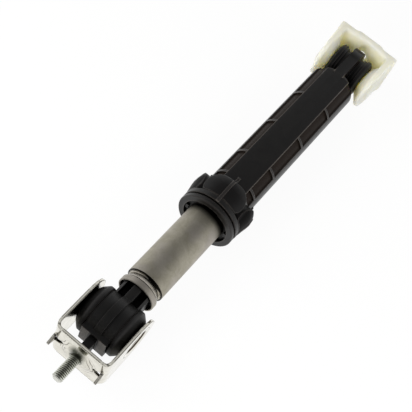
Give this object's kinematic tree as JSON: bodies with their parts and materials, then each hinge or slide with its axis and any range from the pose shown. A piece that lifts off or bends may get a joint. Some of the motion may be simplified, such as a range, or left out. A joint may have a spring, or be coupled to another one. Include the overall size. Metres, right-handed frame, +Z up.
{
  "type": "washing machine friction damper",
  "caption": "Telescopic friction damper: steel tube sliding in a ribbed plastic housing, with a folded steel foot bracket with a threaded stud and a white nylon saddle bracket.",
  "frame": {"origin": "centre of the steel bracket's seat face, where the stud leaves it", "axes": "+X along the damper from the steel bracket to the white bracket, +Y along both pivots, +Z up as it lies"},
  "size_m": [0.2876, 0.042, 0.0386],
  "materials": {
    "zinc_stud": "zinc plated, threaded",
    "zinc_sheet": "bright zinc plated sheet",
    "tube_steel": "drawn, dull, lightly greased",
    "sleeve_steel": "plain drawn",
    "black_rubber": "moulded",
    "eye_plastic": "moulded glass-filled nylon",
    "bush_plastic": "moulded",
    "inner_plastic": "moulded acetal",
    "greased_foam": "greased foam strip",
    "housing_plastic": "moulded, satin",
    "white_nylon": "moulded natural nylon"
  },
  "bodies": {
    "damper_housing": {"housing": "housing_plastic", "guide_bush": "bush_plastic", "friction_lining": "greased_foam", "lining_ring": "inner_plastic", "end_buffer": "black_rubber", "upper_bush_left": "black_rubber", "upper_bush_right": "black_rubber", "upper_sleeve": "sleeve_steel"},
    "slider": {"tube_stop_ring": "inner_plastic"},
    "plunger": {"sliding_tube": "tube_steel", "rod_eye": "eye_plastic", "lower_bush_left": "black_rubber", "lower_bush_right": "black_rubber", "lower_sleeve": "sleeve_steel"},
    "foot": {"base_bracket": "zinc_sheet", "mounting_stud": "zinc_stud"},
    "saddle": {"upper_bracket": "white_nylon"}
  },
  "joints": [
    {"name": "tube_slide", "type": "slide", "parent": "damper_housing", "child": "slider", "axis": [1, 0, 0], "range_m": [-0.042, 0.055]},
    {"name": "tube_turn", "type": "hinge", "parent": "slider", "child": "plunger", "pos_m": [0.166, 0, 0], "axis": [1, 0, 0], "continuous": true},
    {"name": "foot_pivot", "type": "hinge", "parent": "plunger", "child": "foot", "pos_m": [0.0248, 0, 0], "axis": [0, 1, 0], "range_deg": [-60, 60]},
    {"name": "saddle_pivot", "type": "hinge", "parent": "damper_housing", "child": "saddle", "pos_m": [0.2522, 0, 0], "axis": [0, 1, 0], "range_deg": [-60, 60]}
  ]
}
